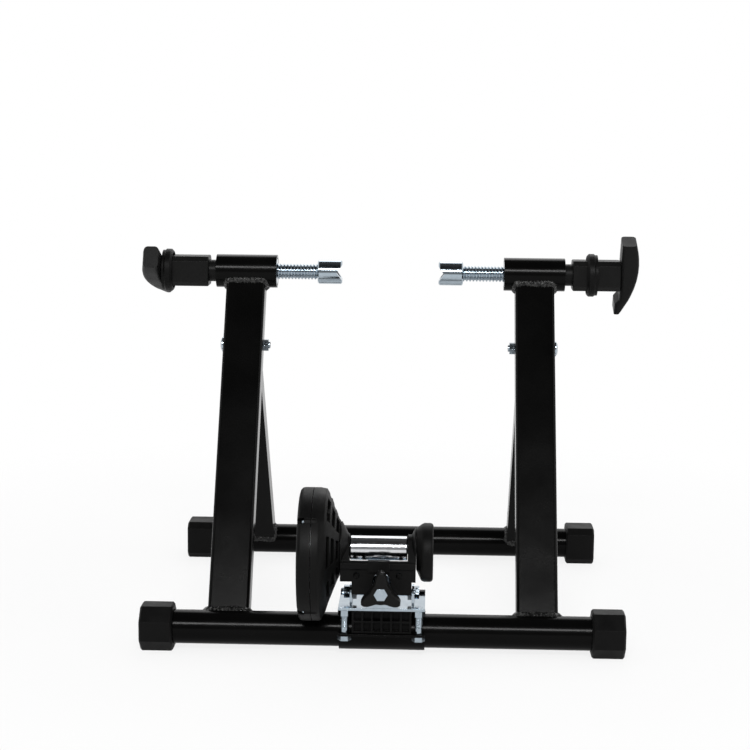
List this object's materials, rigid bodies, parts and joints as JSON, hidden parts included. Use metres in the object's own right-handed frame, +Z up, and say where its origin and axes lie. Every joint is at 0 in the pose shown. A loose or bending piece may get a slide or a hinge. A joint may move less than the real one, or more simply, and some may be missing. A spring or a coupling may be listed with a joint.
{
  "type": "bike trainer",
  "caption": "Folding stand that clamps a bicycle's rear axle and holds a magnetic roller brake against its tyre.",
  "frame": {"origin": "on the floor, at the centre of the whole trainer's bounding box", "axes": "+Z up, +X along the floor bars to the right as seen from the brake's knob, +Y from the brake's bar to the folding rear bar"},
  "size_m": [0.5976, 0.5426, 0.4529],
  "materials": {
    "black_paint": "gloss black powder coat",
    "black_plastic": "fine-grained black moulded plastic",
    "handle_plastic": "satin black moulded plastic",
    "zinc_plate": "bright zinc plating",
    "chrome_roller": "ground and polished steel",
    "bare_steel": "turned steel",
    "aluminium_disc": "rolled sheet",
    "magnet": "nickel-coated magnets on a steel ring",
    "nylon": "natural nylon",
    "spring_steel": "drawn spring wire"
  },
  "bodies": {
    "main_frame": {"front_bar": "black_paint", "left_upright": "black_paint", "right_upright": "black_paint", "left_sleeve": "black_paint", "right_sleeve": "black_paint", "left_thread_bush": "zinc_plate", "right_thread_bush": "zinc_plate", "left_front_foot": "black_plastic", "right_front_foot": "black_plastic", "left_leg_bolt": "zinc_plate", "right_leg_bolt": "zinc_plate", "left_leg_nut": "zinc_plate", "right_leg_nut": "zinc_plate", "left_clamp_bolt": "zinc_plate", "right_clamp_bolt": "zinc_plate", "left_clamp_nut": "zinc_plate", "right_clamp_nut": "zinc_plate", "saddle_block": "black_plastic", "unit_bracket": "zinc_plate", "clamp_strap": "black_paint", "tilt_bolt": "zinc_plate", "tilt_nut": "zinc_plate", "adjust_spring": "spring_steel"},
    "rear_frame": {"rear_bar": "black_paint", "left_rear_leg": "black_paint", "right_rear_leg": "black_paint", "left_rear_foot": "black_plastic", "right_rear_foot": "black_plastic", "left_leg_bush": "nylon", "right_leg_bush": "nylon"},
    "brake_unit": {"unit_yoke": "black_plastic", "left_yoke_screw": "black_paint", "right_yoke_screw": "black_paint", "left_bearing": "bare_steel", "right_bearing": "bare_steel", "housing_inner": "black_plastic", "housing_outer": "black_plastic", "magnet_carrier": "magnet", "drum_cover": "black_plastic"},
    "rotor": {"shaft": "bare_steel", "roller": "chrome_roller", "conductor_disc": "aluminium_disc", "flywheel": "bare_steel", "balance_wheel": "bare_steel", "shaft_nut": "zinc_plate"},
    "swivel": {"swivel_nut": "zinc_plate"},
    "knob": {"adjust_knob": "handle_plastic", "adjust_bolt": "zinc_plate", "adjust_nut": "zinc_plate"},
    "left_cup": {"left_cup": "zinc_plate"},
    "left_screw": {"left_rod": "zinc_plate", "left_barrel": "handle_plastic", "left_handle": "handle_plastic"},
    "left_ring": {"left_lock_ring": "black_plastic"},
    "right_cup": {"right_cup": "zinc_plate"},
    "right_screw": {"right_rod": "zinc_plate", "right_barrel": "handle_plastic", "right_handle": "handle_plastic"},
    "right_ring": {"right_lock_ring": "black_plastic"}
  },
  "joints": [
    {"name": "rear_fold", "type": "hinge", "parent": "main_frame", "child": "rear_frame", "pos_m": [0, 0.01044, 0.32053], "axis": [-1, 0, 0], "range_deg": [0, 63.5]},
    {"name": "left_clamp_slide", "type": "slide", "parent": "main_frame", "child": "left_cup", "axis": [-1, 0, 0], "range_m": [-0.006, 0.045]},
    {"name": "left_handle_turn", "type": "hinge", "parent": "left_cup", "child": "left_screw", "pos_m": [-0.088, 0.05435, 0.405], "axis": [-1, 0, 0], "range_deg": [-541, 4051]},
    {"name": "left_ring_slide", "type": "slide", "parent": "left_screw", "child": "left_ring", "axis": [1, 0, 0], "range_m": [0, 0.0435]},
    {"name": "right_clamp_slide", "type": "slide", "parent": "main_frame", "child": "right_cup", "axis": [1, 0, 0], "range_m": [-0.006, 0.045]},
    {"name": "right_handle_turn", "type": "hinge", "parent": "right_cup", "child": "right_screw", "pos_m": [0.088, 0.05435, 0.405], "axis": [1, 0, 0], "range_deg": [-541, 4051]},
    {"name": "right_ring_slide", "type": "slide", "parent": "right_screw", "child": "right_ring", "axis": [-1, 0, 0], "range_m": [-0.0265, 0.017]},
    {"name": "knob_turn", "type": "hinge", "parent": "main_frame", "child": "knob", "pos_m": [0, -0.23965, 0.088], "axis": [0, 1, 0], "range_deg": [-600, 714]},
    {"name": "unit_tilt", "type": "hinge", "parent": "main_frame", "child": "brake_unit", "pos_m": [0, -0.18965, 0.073], "axis": [1, 0, 0], "range_deg": [-8, 9.5]},
    {"name": "nut_swivel", "type": "hinge", "parent": "brake_unit", "child": "swivel", "pos_m": [0, -0.18965, 0.088], "axis": [1, 0, 0], "range_deg": [-9.5, 8]},
    {"name": "roller_spin", "type": "hinge", "parent": "brake_unit", "child": "rotor", "pos_m": [0, -0.19765, 0.125], "axis": [1, 0, 0], "continuous": true}
  ],
  "couplings": [
    {"joint": "left_handle_turn", "follows": "left_clamp_slide", "rad_per_m": 1570.8},
    {"joint": "right_handle_turn", "follows": "right_clamp_slide", "rad_per_m": 1570.8},
    {"joint": "unit_tilt", "follows": "knob_turn", "ratio": 0.013263},
    {"joint": "nut_swivel", "follows": "knob_turn", "ratio": -0.013263}
  ]
}
